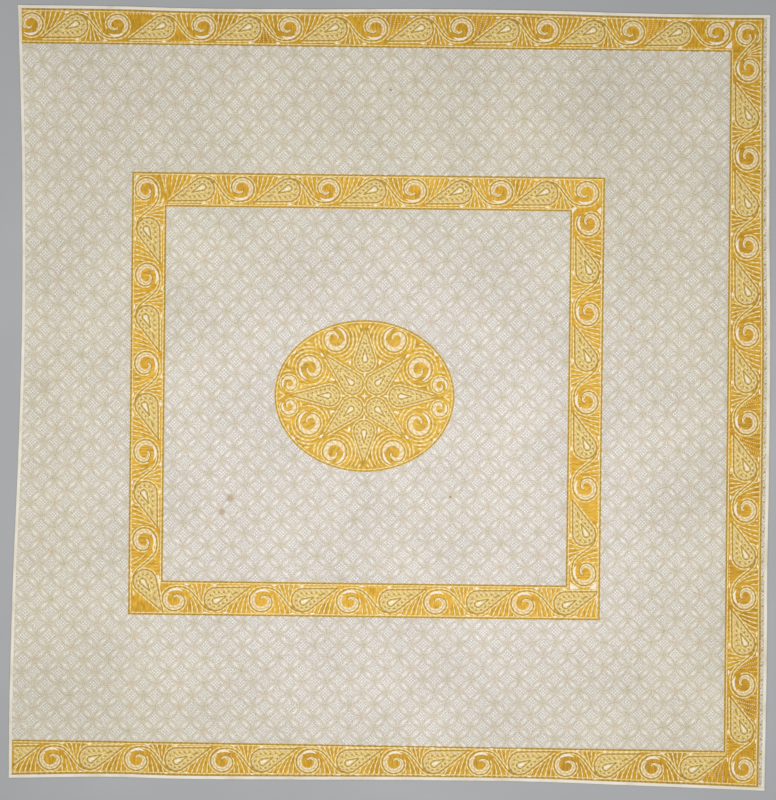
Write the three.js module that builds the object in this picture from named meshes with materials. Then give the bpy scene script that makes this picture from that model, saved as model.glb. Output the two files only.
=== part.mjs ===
// Bedspread: one quilted cotton cloth, with a three-sided border, an inner frame and a centre
// medallion worked on it in yellow silk, and a white tape folded over its edges. It lies flat,
// face up. Millimetres: +X is the right of the face, +Y its top, +Z up from what it lies on.
import * as THREE from "three";

// Heights above the surface that the cloth lies on
const VALLEY = 2.2;
const RIDGE = 3.2;
const EDGE_UNDER = 1.2;
const EDGE_OVER = 2.2;
const PANEL_UNDER = 2.5;
const PANEL_TOP = 3.3;
const MOUND_RISE = 0.9;

// Edge binding: a tape folded over the edge, with its turns on the back and on the face
const TAPE = 0.8;
const LAP = 8;
const EDGE_GAP = 0.3;
const FACE_TURN = 2.7;

// Underside: how far the edge is lifted by the tape, and the middle where the cloth rests
const LIFTED_SHARE = 0.93;
const REST_HALF = 700;

// Worked panels: their distance from the cloth's edges and from the quilting
const BORDER_INSET = LAP + 1;
const BORDER_INSET_RIGHT = 18;
const PANEL_INSET = 1;

// Lines that run up the cloth. low and high are x at the bottom and the top edge, bottom and top
// are the y of those edges there, and steps counts the quilting steps to the next line.
const COLUMNS = [
  { line: "left edge", low: -1096, high: -1097, bottom: -1117, top: 1123, steps: 9 },
  { line: "frame left, outside", low: -757, high: -762, bottom: -1111, top: 1122, steps: 3 },
  { line: "frame left, inside", low: -655, high: -660, bottom: -1113, top: 1120, steps: 11 },
  { line: "inner field, one third", low: -268, high: -268, bottom: -1112, top: 1121, steps: 11 },
  { line: "inner field, two thirds", low: 121, high: 121, bottom: -1109, top: 1126, steps: 11 },
  { line: "frame right, inside", low: 510, high: 510, bottom: -1111, top: 1124, steps: 3 },
  { line: "frame right, outside", low: 612, high: 612, bottom: -1114, top: 1122, steps: 10 },
  { line: "border right, inside", low: 974, high: 968, bottom: -1124, top: 1120, steps: 3 },
  { line: "right edge", low: 1094, high: 1083, bottom: -1128, top: 1121, steps: 0 },
];

// Lines that run across the cloth. low and high are y at the left and the right edge, and
// bottom and top are the x of those two edges there.
const ROWS = [
  { line: "bottom edge", low: -1117, high: -1128, bottom: -1096, top: 1094, steps: 3 },
  { line: "border bottom, inside", low: -1005, high: -1013, bottom: -1097, top: 1095, steps: 10 },
  { line: "frame bottom, outside", low: -641, high: -641, bottom: -1093, top: 1096, steps: 3 },
  { line: "frame bottom, inside", low: -539, high: -539, bottom: -1091, top: 1095, steps: 10 },
  { line: "inner field, one third", low: -179, high: -179, bottom: -1080, top: 1096, steps: 11 },
  { line: "inner field, two thirds", low: 181, high: 181, bottom: -1074, top: 1095, steps: 10 },
  { line: "frame top, inside", low: 543, high: 543, bottom: -1077, top: 1088, steps: 3 },
  { line: "frame top, outside", low: 645, high: 645, bottom: -1079, top: 1087, steps: 10 },
  { line: "border top, inside", low: 1011, high: 1011, bottom: -1092, top: 1083, steps: 3 },
  { line: "top edge", low: 1123, high: 1121, bottom: -1097, top: 1083, steps: 0 },
];
const [LEFT, FRAME_L_OUT, FRAME_L_IN, , , FRAME_R_IN, FRAME_R_OUT, BORDER_R, RIGHT] =
  COLUMNS.keys();
const [BOTTOM, BORDER_B, FRAME_B_OUT, FRAME_B_IN, , , FRAME_T_IN, FRAME_T_OUT, BORDER_T, TOP] =
  ROWS.keys();

// The scroll: spirals and drops raised along each run. heading is the way that the run goes, in
// quarter turns, across is its middle line, and first, last and count place the motifs along it.
const RUNS = [
  { panel: "border", heading: 0, across: 1064, spirals: [-808, 933, 8], drops: [-933, 813, 8] },
  { panel: "border", heading: 3, across: 1023, spirals: [967, -820, 8], drops: [833, -947, 8] },
  { panel: "border", heading: 2, across: -1061, spirals: [765, -978, 8], drops: [890, -857, 8] },
  { panel: "frame", heading: 0, across: 594, spirals: [-440, 559, 5], drops: [-559, 437, 5] },
  { panel: "frame", heading: 3, across: 561, spirals: [511, -506, 5], drops: [381, -379, 4] },
  { panel: "frame", heading: 2, across: -590, spirals: [390, -621, 5], drops: [518, -497, 5] },
  { panel: "frame", heading: 1, across: -708, spirals: [-423, 341, 4], drops: [-545, 470, 5] },
];
const CORNER_SPIRALS = [
  { panel: "border", x: 1017, y: 1068, radius: 28 },
  { panel: "border", x: 1029, y: -1072, radius: 32 },
  { panel: "border", x: -1059, y: 1064, radius: 24 },
  { panel: "frame", x: -714, y: 593, radius: 34 },
];
const SPIRAL_RADIUS = 34;
const SPIRAL_SIDES = 12;
const DROP = { head: 32, length: 118, lean: 0.33, sides: 12, shift: 3 };

// The medallion: an oval with eight drops as a star, their round heads inwards, and spirals
const MEDALLION = { x: -79, y: 2, across: 262, up: 221, sides: 48 };
const STAR = [
  { drops: 4, first: 0, near: 70, length: 138, head: 30 },
  { drops: 4, first: Math.PI / 4, near: 19, length: 146, head: 30 },
];
const MEDALLION_SPIRALS = [
  { x: 84, y: 164, radius: 33 },
  { x: 162, y: 80, radius: 33 },
  { x: 220, y: 35, radius: 20 },
];

const part = new THREE.Group();
const lerp = THREE.MathUtils.lerp;

// A closed body under construction: its points and the triangles between them.
class Body {
  constructor() {
    this.places = [];
    this.faces = [];
  }

  point(x, y, z) {
    this.places.push(x, y, z);
    return this.places.length / 3 - 1;
  }

  quad(a, b, c, d) {
    this.faces.push(a, b, c, a, c, d);
  }

  // A flat face with holes, from loops of point numbers, facing up or down.
  level(outline, holes, up) {
    const flat = (loop) =>
      loop.map((n) => new THREE.Vector2(this.places[3 * n], this.places[3 * n + 1]));
    const numbers = [outline, ...holes].flat();
    for (const [a, b, c] of THREE.ShapeUtils.triangulateShape(flat(outline), holes.map(flat))) {
      const corner = [a, b, c].map((n) => numbers[n]);
      const turnsLeft = THREE.ShapeUtils.area(flat(corner)) > 0;
      this.faces.push(...(turnsLeft === up ? corner : corner.reverse()));
    }
  }

  // The wall between two loops of the same length, the first one above, both anticlockwise.
  wall(over, under) {
    over.forEach((n, k) => {
      const next = (k + 1) % over.length;
      this.quad(under[k], under[next], over[next], n);
    });
  }

  mesh(name, finish) {
    const geometry = new THREE.BufferGeometry();
    geometry.setAttribute("position", new THREE.Float32BufferAttribute(this.places, 3));
    geometry.setIndex(this.faces);
    geometry.computeVertexNormals();
    const mesh = new THREE.Mesh(geometry, new THREE.MeshStandardMaterial(finish));
    mesh.name = name;
    part.add(mesh);
  }
}

// Every quilting step along a table: the table line before it, and its share of the way on.
function stepsOf(table) {
  const steps = table.flatMap((row, line) =>
    Array.from({ length: row.steps }, (_, k) => ({ line, share: k / row.steps })),
  );
  return [...steps, { line: table.length - 1, share: 0 }];
}

function along(table, step, value) {
  const next = Math.min(step.line + 1, table.length - 1);
  return lerp(value(table[step.line]), value(table[next]), step.share);
}

// One coordinate of a crossing: table lines run straight from edge to edge, and the first and
// the last line of a table are the cloth's own uneven edges, which the other table gives.
function crossing(table, step, other, otherStep) {
  const mid = (row) => (row.low + row.high) / 2;
  const from = mid(other[0]);
  const way = (along(other, otherStep, mid) - from) / (mid(other.at(-1)) - from);
  return along(table, step, (row) => {
    if (row === table[0]) return along(other, otherStep, (edge) => edge.bottom);
    if (row === table.at(-1)) return along(other, otherStep, (edge) => edge.top);
    return lerp(row.low, row.high, way);
  });
}

function clothPoint(column, row) {
  return {
    x: crossing(COLUMNS, column, ROWS, row),
    y: crossing(ROWS, row, COLUMNS, column),
  };
}

const linePoint = (column, row) =>
  clothPoint({ line: column, share: 0 }, { line: row, share: 0 });

// Whether a step lies on, or within, the lines a to b of its table.
const between = (step, a, b) =>
  step.line >= a && (step.line < b || (step.line === b && step.share === 0));

// The worked parts of the cloth, which are not quilted.
function isWorked(column, row) {
  const inFrame =
    between(column, FRAME_L_OUT, FRAME_R_OUT) && between(row, FRAME_B_OUT, FRAME_T_OUT);
  const inField =
    between(column, FRAME_L_IN, FRAME_R_IN) &&
    between(row, FRAME_B_IN, FRAME_T_IN) &&
    !isLine(column, [FRAME_L_IN, FRAME_R_IN]) &&
    !isLine(row, [FRAME_B_IN, FRAME_T_IN]);
  const inBorder =
    between(column, BORDER_R, RIGHT) ||
    between(row, BOTTOM, BORDER_B) ||
    between(row, BORDER_T, TOP);
  return inBorder || (inFrame && !inField);
}

const isLine = (step, lines) => step.share === 0 && lines.includes(step.line);

function medallionReach({ x, y }) {
  return Math.hypot((x - MEDALLION.x) / MEDALLION.across, (y - MEDALLION.y) / MEDALLION.up);
}

function makeCloth() {
  const body = new Body();
  const columns = stepsOf(COLUMNS);
  const rows = stepsOf(ROWS);
  const quiltStep = (COLUMNS[BORDER_R].low - COLUMNS[FRAME_R_OUT].low) / COLUMNS[FRAME_R_OUT].steps;
  const clear = 1 + quiltStep / MEDALLION.up;
  const lastColumn = columns.length - 1;
  const lastRow = rows.length - 1;

  // Sewn rings overlap on the cloth, so the petals between their crossings stand as ridges
  const isCrossing = (i, j) => (i + j) % 2 === 1;
  const heightAt = (i, j, place) => {
    if (i === 0 || j === 0 || i === lastColumn || j === lastRow) return EDGE_OVER;
    if (isWorked(columns[i], rows[j]) || medallionReach(place) < clear) return VALLEY;
    return isCrossing(i, j) ? RIDGE : VALLEY;
  };
  const face = columns.map((column, i) =>
    rows.map((row, j) => {
      const place = clothPoint(column, row);
      return body.point(place.x, place.y, heightAt(i, j, place));
    }),
  );
  for (let i = 0; i < lastColumn; i += 1) {
    for (let j = 0; j < lastRow; j += 1) {
      const [a, b, c, d] = [face[i][j], face[i + 1][j], face[i + 1][j + 1], face[i][j + 1]];
      if (isCrossing(i, j)) body.quad(a, b, c, d);
      else body.quad(b, c, d, a);
    }
  }

  // The rim of the cloth, anticlockwise, and whether each of its points is on a table line
  const rim = [];
  for (let i = 0; i < lastColumn; i += 1) rim.push([i, 0]);
  for (let j = 0; j < lastRow; j += 1) rim.push([lastColumn, j]);
  for (let i = lastColumn; i > 0; i -= 1) rim.push([i, lastRow]);
  for (let j = lastRow; j > 0; j -= 1) rim.push([0, j]);
  const over = rim.map(([i, j]) => face[i][j]);
  const under = over.map((n) => body.point(body.places[3 * n], body.places[3 * n + 1], EDGE_UNDER));
  body.wall(over, under);

  // From the lifted rim the underside slopes down to the flat middle that the cloth rests on
  const onLine = rim.map(([i, j]) => columns[i].share === 0 && rows[j].share === 0);
  const starts = [...onLine.keys()].filter((k) => onLine[k]);
  const rest = starts.map((k) => {
    const n = under[k];
    return body.point(body.places[3 * n] * LIFTED_SHARE, body.places[3 * n + 1] * LIFTED_SHARE, 0);
  });
  starts.forEach((start, s) => {
    const end = s + 1 < starts.length ? starts[s + 1] : under.length;
    for (let k = start; k < end; k += 1) {
      body.faces.push(rest[s], under[(k + 1) % under.length], under[k]);
    }
    const nextRest = rest[(s + 1) % rest.length];
    body.faces.push(rest[s], nextRest, under[end % under.length]);
  });
  const corners = [[-1, -1], [1, -1], [1, 1], [-1, 1]];
  const middle = corners.map(([x, y]) => body.point(x * REST_HALF, y * REST_HALF, 0));
  body.level(rest, [middle], false);
  body.level(middle, [], false);
  body.mesh("quilted_cloth", { color: 0xd6cfc2, roughness: 0.95, metalness: 0 });
}

// Outlines of the raised motifs, as lists of points
function ring(x, y, across, up, sides) {
  return Array.from({ length: sides }, (_, k) => {
    const turn = (2 * Math.PI * (k + 0.5)) / sides;
    return { x: x + across * Math.cos(turn), y: y + up * Math.sin(turn) };
  });
}

// A drop: a round head at x, y and a point at the given length from the far side of the head.
function drop(x, y, tipAngle, head, length, sides) {
  const toTip = length - head;
  const half = Math.acos(head / toTip);
  const round = Array.from({ length: sides - 1 }, (_, k) => {
    const turn = tipAngle + lerp(half, 2 * Math.PI - half, k / (sides - 2));
    return { x: x + head * Math.cos(turn), y: y + head * Math.sin(turn) };
  });
  return [{ x: x + toTip * Math.cos(tipAngle), y: y + toTip * Math.sin(tipAngle) }, ...round];
}

const spaced = ([first, last, count]) =>
  Array.from({ length: count }, (_, k) => lerp(first, last, k / (count - 1)));

function motifsOf(panel) {
  const corners = CORNER_SPIRALS.filter((spiral) => spiral.panel === panel).map((spiral) =>
    ring(spiral.x, spiral.y, spiral.radius, spiral.radius, SPIRAL_SIDES),
  );
  const runs = RUNS.filter((run) => run.panel === panel).flatMap((run) => {
    const level = run.heading % 2 === 0;
    const side = run.heading === 0 || run.heading === 3 ? 1 : -1;
    const place = (at, shift) =>
      level ? { x: at, y: run.across + side * shift } : { x: run.across + side * shift, y: at };
    const tipAngle = (run.heading * Math.PI) / 2 + Math.PI + DROP.lean;
    const spirals = spaced(run.spirals).map((at) => {
      const { x, y } = place(at, 0);
      return ring(x, y, SPIRAL_RADIUS, SPIRAL_RADIUS, SPIRAL_SIDES);
    });
    const drops = spaced(run.drops).map((at) => {
      const { x, y } = place(at, DROP.shift);
      return drop(x, y, tipAngle, DROP.head, DROP.length, DROP.sides);
    });
    return [...spirals, ...drops];
  });
  return [...corners, ...runs];
}

function medallionMotifs() {
  const { x, y } = MEDALLION;
  const star = STAR.flatMap((set) =>
    Array.from({ length: set.drops }, (_, k) => {
      const turn = set.first + (2 * Math.PI * k) / set.drops;
      const out = set.near + set.head;
      const at = { x: x + out * Math.cos(turn), y: y + out * Math.sin(turn) };
      return drop(at.x, at.y, turn, set.head, set.length, DROP.sides);
    }),
  );
  const spirals = MEDALLION_SPIRALS.flatMap((spiral) =>
    [[1, 1], [-1, 1], [-1, -1], [1, -1]].map(([sx, sy]) =>
      ring(x + sx * spiral.x, y + sy * spiral.y, spiral.radius, spiral.radius, SPIRAL_SIDES),
    ),
  );
  return [...star, ...spirals];
}

// A worked panel: a thin layer on the cloth, with each motif raised to a low point.
function makePanel(name, outline, opening, motifs) {
  const body = new Body();
  const loop = (places, z) => places.map(({ x, y }) => body.point(x, y, z));
  const over = loop(outline, PANEL_TOP);
  const under = loop(outline, PANEL_UNDER);
  const holeOver = opening.map((places) => loop(places, PANEL_TOP));
  const holeUnder = opening.map((places) => loop(places, PANEL_UNDER));
  const mounds = motifs.map((places) => loop(places, PANEL_TOP));
  body.wall(over, under);
  holeOver.forEach((hole, k) => body.wall([...hole].reverse(), [...holeUnder[k]].reverse()));
  body.level(over, [...holeOver, ...mounds], true);
  body.level(under, holeUnder, false);
  mounds.forEach((mound, k) => {
    const mean = (axis) => motifs[k].reduce((sum, p) => sum + p[axis], 0) / motifs[k].length;
    const peak = body.point(mean("x"), mean("y"), PANEL_TOP + MOUND_RISE);
    mound.forEach((n, m) => body.faces.push(n, mound[(m + 1) % mound.length], peak));
  });
  body.mesh(name, { color: 0xd5ab4a, roughness: 0.7, metalness: 0 });
}

function makeBorder() {
  const bottom = COLUMNS.map((_, k) => linePoint(k, BOTTOM));
  const right = ROWS.map((_, k) => linePoint(RIGHT, k));
  const top = COLUMNS.map((_, k) => linePoint(k, TOP)).reverse();
  const startX = (row) => linePoint(LEFT, row).x + BORDER_INSET;
  const endX = (place) => place.x - BORDER_INSET_RIGHT;
  const inset = (places, dy) =>
    places.slice(1, -1).map(({ x, y }) => ({ x, y: y + dy }));
  const cornerB = linePoint(RIGHT, BOTTOM);
  const cornerT = linePoint(RIGHT, TOP);
  const insideB = linePoint(BORDER_R, BORDER_B);
  const insideT = linePoint(BORDER_R, BORDER_T);
  const outline = [
    { x: startX(BOTTOM), y: bottom[0].y + BORDER_INSET },
    ...inset(bottom, BORDER_INSET),
    { x: endX(cornerB), y: cornerB.y + BORDER_INSET },
    ...right.slice(1, -1).map((place) => ({ x: endX(place), y: place.y })),
    { x: endX(cornerT), y: cornerT.y - BORDER_INSET },
    ...inset(top, -BORDER_INSET),
    { x: startX(TOP), y: top.at(-1).y - BORDER_INSET },
    { x: startX(BORDER_T), y: linePoint(LEFT, BORDER_T).y + PANEL_INSET },
    { x: insideT.x + PANEL_INSET, y: insideT.y + PANEL_INSET },
    { x: insideB.x + PANEL_INSET, y: insideB.y - PANEL_INSET },
    { x: startX(BORDER_B), y: linePoint(LEFT, BORDER_B).y - PANEL_INSET },
  ];
  makePanel("worked_border", outline, [], motifsOf("border"));
}

function makeFrame() {
  const corners = (l, r, b, t, inset) => [
    { x: linePoint(l, b).x + inset, y: linePoint(l, b).y + inset },
    { x: linePoint(r, b).x - inset, y: linePoint(r, b).y + inset },
    { x: linePoint(r, t).x - inset, y: linePoint(r, t).y - inset },
    { x: linePoint(l, t).x + inset, y: linePoint(l, t).y - inset },
  ];
  const outside = corners(FRAME_L_OUT, FRAME_R_OUT, FRAME_B_OUT, FRAME_T_OUT, PANEL_INSET);
  const inside = corners(FRAME_L_IN, FRAME_R_IN, FRAME_B_IN, FRAME_T_IN, -PANEL_INSET);
  makePanel("worked_frame", outside, [inside], motifsOf("frame"));
}

function makeMedallion() {
  const { x, y, across, up, sides } = MEDALLION;
  makePanel("worked_medallion", ring(x, y, across, up, sides), [], medallionMotifs());
}

// One side's binding: the folded tape's section, carried along the edge. The path goes
// anticlockwise round the cloth, and inward is the direction to the middle of the cloth.
function makeBinding(name, path, inward) {
  const outer = -(EDGE_GAP + TAPE);
  const section = [
    [outer, 0],
    [LAP, 0],
    [LAP, TAPE],
    [-EDGE_GAP, TAPE],
    [-EDGE_GAP, FACE_TURN],
    [LAP, FACE_TURN],
    [LAP, FACE_TURN + TAPE],
    [outer, FACE_TURN + TAPE],
  ];
  const body = new Body();
  const loops = path.map(({ x, y }) =>
    section.map(([reach, z]) => body.point(x + inward.x * reach, y + inward.y * reach, z)),
  );
  for (let k = 0; k + 1 < loops.length; k += 1) body.wall(loops[k + 1], loops[k]);
  const shape = section.map(([reach, z]) => new THREE.Vector2(reach, z));
  for (const [a, b, c] of THREE.ShapeUtils.triangulateShape(shape, [])) {
    const turnsLeft = THREE.ShapeUtils.area([shape[a], shape[b], shape[c]]) > 0;
    const [p, q, r] = turnsLeft ? [a, b, c] : [c, b, a];
    const [first, last] = [loops[0], loops.at(-1)];
    body.faces.push(first[p], first[r], first[q], last[p], last[q], last[r]);
  }
  body.mesh(name, { color: 0xece5d8, roughness: 0.9, metalness: 0 });
}

function makeBindings() {
  const past = EDGE_GAP + TAPE;
  const short = LAP + EDGE_GAP;
  const bottom = COLUMNS.map((_, k) => linePoint(k, BOTTOM));
  const right = ROWS.map((_, k) => linePoint(RIGHT, k));
  const top = COLUMNS.map((_, k) => linePoint(k, TOP)).reverse();
  const left = ROWS.map((_, k) => linePoint(LEFT, k)).reverse();
  const trim = (path, dx, dy) => {
    const [start, end] = [path[0], path.at(-1)];
    return [
      { x: start.x - dx, y: start.y - dy },
      ...path.slice(1, -1),
      { x: end.x + dx, y: end.y + dy },
    ];
  };
  makeBinding("binding_bottom", trim(bottom, past, 0), { x: 0, y: 1 });
  makeBinding("binding_right", trim(right, 0, -short), { x: -1, y: 0 });
  makeBinding("binding_top", trim(top, -past, 0), { x: 0, y: -1 });
  makeBinding("binding_left", trim(left, 0, short), { x: 1, y: 0 });
}

makeCloth();
makeBorder();
makeFrame();
makeMedallion();
makeBindings();

// The part's origin is under the middle of its box
const middle = new THREE.Box3().setFromObject(part).getCenter(new THREE.Vector3());
part.position.set(-middle.x, -middle.y, 0);

export default part;
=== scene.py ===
# %% [markdown]
# A quilted bedspread, worked in yellow silk
#
# The real cover is two layers of white cotton, sewn through all over in the wine-glass pattern,
# with a border on three sides, a frame and an oval star medallion worked over it in silk.
# The left side has no border: the cover was cut down there and bound again.
# This lesson builds it as numpy surfaces: one sheet of quilted cloth, the silk grounds on it,
# and thousands of short threads that follow the traditional scroll, drop and star.

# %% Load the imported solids
from functools import partial

import bpy
import numpy as np
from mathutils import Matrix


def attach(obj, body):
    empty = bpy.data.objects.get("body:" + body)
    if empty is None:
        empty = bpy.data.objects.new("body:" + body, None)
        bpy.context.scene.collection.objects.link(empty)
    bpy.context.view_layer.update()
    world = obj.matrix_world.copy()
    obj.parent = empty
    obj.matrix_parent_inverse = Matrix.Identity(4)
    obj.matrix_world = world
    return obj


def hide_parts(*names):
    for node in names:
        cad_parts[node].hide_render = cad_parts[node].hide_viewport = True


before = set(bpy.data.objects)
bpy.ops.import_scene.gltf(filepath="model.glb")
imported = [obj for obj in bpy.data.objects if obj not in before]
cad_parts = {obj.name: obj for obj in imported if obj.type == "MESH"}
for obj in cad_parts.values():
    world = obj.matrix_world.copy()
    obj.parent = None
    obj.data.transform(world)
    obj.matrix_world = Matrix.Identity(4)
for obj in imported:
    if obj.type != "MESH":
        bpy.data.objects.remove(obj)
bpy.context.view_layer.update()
print("solids:", sorted(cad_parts))

# %% [markdown]
# The layout
#
# Nothing on a handmade cover is quite square, so the layout is a table of lines with two ends each.
# The outermost lines are the edges, which wander by up to 20 mm.
# Between two lines the cloth's grid is counted in steps, about half a quilted ring each.

# %% Lines of the layout, in millimetres
MM = 0.001
CENTRE = np.array([0.5, 1.0])  # the drawing's origin, seen from the middle of the cover's box

# Upright lines: x at the foot, x at the head, y of the bottom edge, y of the top edge, steps to the next
UPRIGHTS = np.array([
    [-1096, -1097, -1117, 1123, 9],
    [-757, -762, -1111, 1122, 3],
    [-655, -660, -1113, 1120, 11],
    [-268, -268, -1112, 1121, 11],
    [121, 121, -1109, 1126, 11],
    [510, 510, -1111, 1124, 3],
    [612, 612, -1114, 1122, 10],
    [974, 968, -1124, 1120, 3],
    [1094, 1083, -1128, 1121, 0],
], float)
# Level lines: y at the left, y at the right, x of the left edge, x of the right edge, steps to the next
LEVELS = np.array([
    [-1117, -1128, -1096, 1094, 3],
    [-1005, -1013, -1097, 1095, 10],
    [-641, -641, -1093, 1096, 3],
    [-539, -539, -1091, 1095, 10],
    [-179, -179, -1080, 1096, 11],
    [181, 181, -1074, 1095, 10],
    [543, 543, -1077, 1088, 3],
    [645, 645, -1079, 1087, 10],
    [1011, 1011, -1092, 1083, 3],
    [1123, 1121, -1097, 1083, 0],
], float)
ACROSS = int(UPRIGHTS[:, 4].sum())
UP = int(LEVELS[:, 4].sum())
print("quilting steps:", ACROSS, "across,", UP, "up")


def eased(at, marks, values):
    """Smooth curve through known points: between two of them a cubic with the mean slope at each."""
    at = np.asarray(at, float)
    slope = np.gradient(values, marks)
    k = np.clip(np.searchsorted(marks, at) - 1, 0, len(marks) - 2)
    gap = marks[k + 1] - marks[k]
    w = (at - marks[k]) / gap
    rise, out, back = values[k + 1] - values[k], slope[k] * gap, slope[k + 1] * gap
    return values[k] + w * (out + w * (3 * rise - 2 * out - back + w * (out + back - 2 * rise)))


def edge(lines, place, value):
    """A wandering edge: the smooth curve through the ends of the layout's lines."""
    return lambda at: eased(at, lines[:, place], lines[:, value])


bottom_edge, top_edge = edge(UPRIGHTS, 0, 2), edge(UPRIGHTS, 1, 3)
left_edge, right_edge = edge(LEVELS, 0, 2), edge(LEVELS, 1, 3)


def heading(turn):
    """Unit steps in directions given in radians."""
    return np.stack([np.cos(turn), np.sin(turn)], -1)


# %% [markdown]
# From arrays to a piece
#
# Each piece is worked out as arrays of points, faces and pattern coordinates, in millimetres.
# One function turns them into a mesh in metres that rides on the cover's only body.
# A closed slab of cloth is a fine grid on top, a coarse grid below, and a rim of triangles between.

# %% Mesh helpers
SHARP = np.radians(48)  # sharper folds keep an edge


def put(name, data):
    """A new object in the scene."""
    made = bpy.data.objects.new(name, data)
    bpy.context.scene.collection.objects.link(made)
    return made


def add_piece(name, points, faces, uv, finish, slot, *nodes):
    """Points in mm (n, 3), a list of face arrays, and pattern coordinates (n, 2) become one piece."""
    xyz = np.array(points, float).reshape(-1, 3)
    xyz[:, :2] += CENTRE
    mesh = bpy.data.meshes.new(name)
    mesh.from_pydata((xyz * MM).tolist(), [], [face for array in faces for face in array.tolist()])
    corners = np.empty(len(mesh.loops), int)
    mesh.loops.foreach_get("vertex_index", corners)
    layer = mesh.uv_layers.new(name="pattern")
    layer.data.foreach_set("uv", np.asarray(uv, float).reshape(-1, 2)[corners].ravel())
    mesh.polygons.foreach_set("use_smooth", np.ones(len(mesh.polygons), bool))
    mesh.set_sharp_from_angle(angle=SHARP)
    mesh.materials.append(finish)
    piece = put(name, mesh)
    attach(piece, "root")
    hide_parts(*nodes)
    print(name, len(mesh.vertices), "points,", sum(len(p.vertices) - 2 for p in mesh.polygons), "triangles")
    return piece


def grid_faces(index):
    """Four corners of every cell of a grid of point numbers, anticlockwise from above."""
    return np.stack([index[:-1, :-1], index[1:, :-1], index[1:, 1:], index[:-1, 1:]], 2).reshape(-1, 4)


def rim(index):
    """The border of a grid of indices, once round, anticlockwise."""
    return np.concatenate([index[:-1, 0], index[-1, :-1], index[:0:-1, -1], index[0, :0:-1]])


def slab(top, under, stride=1):
    """Closed slab: a grid of points on top, every stride-th of them again below, and a rim of triangles."""
    low = top[::stride, ::stride].copy()
    low[..., 2] = under[::stride, ::stride] if np.ndim(under) else under
    high_index = np.arange(top[..., 0].size).reshape(top.shape[:2])
    low_index = np.arange(low[..., 0].size).reshape(low.shape[:2]) + high_index.size
    over, below = rim(high_index), rim(low_index)
    each = np.arange(len(over))
    wall = np.stack([below[each // stride], np.roll(over, -1), over], 1)
    foot = np.stack([below, np.roll(below, -1), np.roll(over, -stride)[::stride]], 1)
    faces = [grid_faces(high_index), grid_faces(low_index)[:, ::-1], wall, foot]
    return np.concatenate([top.reshape(-1, 3), low.reshape(-1, 3)]), faces


def join(*parts):
    """Several sets of points, faces and pattern coordinates as one, with the faces counted on."""
    start = np.cumsum([0] + [len(part[0]) for part in parts])
    points = np.concatenate([part[0] for part in parts])
    faces = [array + start[k] for k, part in enumerate(parts) for array in part[1]]
    return points, faces, np.concatenate([part[2] for part in parts])


# %% [markdown]
# Shader helpers
#
# Every finish is a small network of nodes, and one function adds any node: its settings,
# then its inputs, which are either a plain value or a link from another node.
# Colours are written as the eye sees them on a screen and turned to linear light once.

# %% Node and colour helpers
def linear(code):
    """sRGB hex code to linear red, green, blue and a full alpha."""
    value = np.array([int(code[k : k + 2], 16) for k in (1, 3, 5)]) / 255
    return (*np.where(value <= 0.04045, value / 12.92, ((value + 0.055) / 1.055) ** 2.4), 1.0)


def add_node(tree, kind, inputs=(), stops=(), out=0, **settings):
    """Adds a node, sets or links its inputs by name or number, and gives one output. Stops are a ramp's."""
    made = tree.nodes.new("ShaderNode" + kind)
    for name, value in settings.items():
        setattr(made, name, value)
    for socket, value in dict(inputs).items():
        if isinstance(value, bpy.types.NodeSocket):
            tree.links.new(value, made.inputs[socket])
        else:
            made.inputs[socket].default_value = value
    if stops:
        elements = made.color_ramp.elements
        for end, (place, code) in zip((elements[0], elements[1]), (stops[0], stops[-1])):
            end.position, end.color = place, linear(code)
        for place, code in stops[1:-1]:
            elements.new(place).color = linear(code)
    return made.outputs[out]


def new_finish(name, roughness, sheen=0.0):
    """An empty finish with its constants, what adds a node to it, and the place in metres."""
    made = bpy.data.materials.new(name)
    made.use_nodes = True
    shader = made.node_tree.nodes["Principled BSDF"]
    constants = {"Roughness": roughness, "Sheen Weight": sheen, "Sheen Roughness": 0.4}
    for socket, value in {**constants, "IOR": 1.5, "Specular IOR Level": 0.25}.items():
        shader.inputs[socket].default_value = value
    node = partial(add_node, made.node_tree)
    return made, node, node("TexCoord", out="Object")


def dress(made, colour, height=None, strength=0.0, depth=0.0):
    """Links a colour to a finish's shader, and a height that bumps the face by a depth in metres."""
    links, shader = made.node_tree.links, made.node_tree.nodes["Principled BSDF"]
    links.new(colour, shader.inputs["Base Color"])
    if height:
        bump = add_node(made.node_tree, "Bump", {"Height": height, "Strength": strength, "Distance": depth})
        links.new(bump, shader.inputs["Normal"])
    return made


# %% [markdown]
# The quilting
#
# In the wine-glass pattern rings of one size overlap, so that each shares a petal with four others
# and a four-cornered field is left in its middle. Here the rings are 71 mm wide.
# The petals are puffed up by the wadding; the fields are sewn flat with a fine trellis.
# A formula in two lattice coordinates gives the height, and the same coordinates are kept
# as a UV map, so that the finish draws its stitches exactly on the relief.

# %% Quilting as a formula
VALLEY = 2.2  # thickness of the cloth at a seam, in mm
PETAL_RISE, FIELD_RISE = 1.5, 0.5  # how far petals and fields stand above it
EDGE_UNDER = 1.2  # the tape goes under the cloth's edge
PETAL_HALF, FIELD_HALF = 0.29, 0.41  # from the seam to the middle of a petal or a field, in radii


def next_ring(a, b):
    """Distance to the middle of the next nearest ring, in radii; a and b count rings along the diagonals.
    Below 1 two rings overlap in a petal, above 1 it is the field in the middle of a ring."""
    a, b = np.abs(a - np.round(a)), np.abs(b - np.round(b))
    return np.hypot(1 - (a + b), 1 - np.abs(a - b))


def quilt_rise(distance):
    """A round swelling over each petal and a lower one over each field, both nothing at the seam."""
    petal = np.clip((1 - distance) / PETAL_HALF, 0, 1)
    field = np.clip((distance - 1) / FIELD_HALF, 0, 1)
    return PETAL_RISE * petal * (2 - petal) + FIELD_RISE * field * (2 - field)


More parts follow.
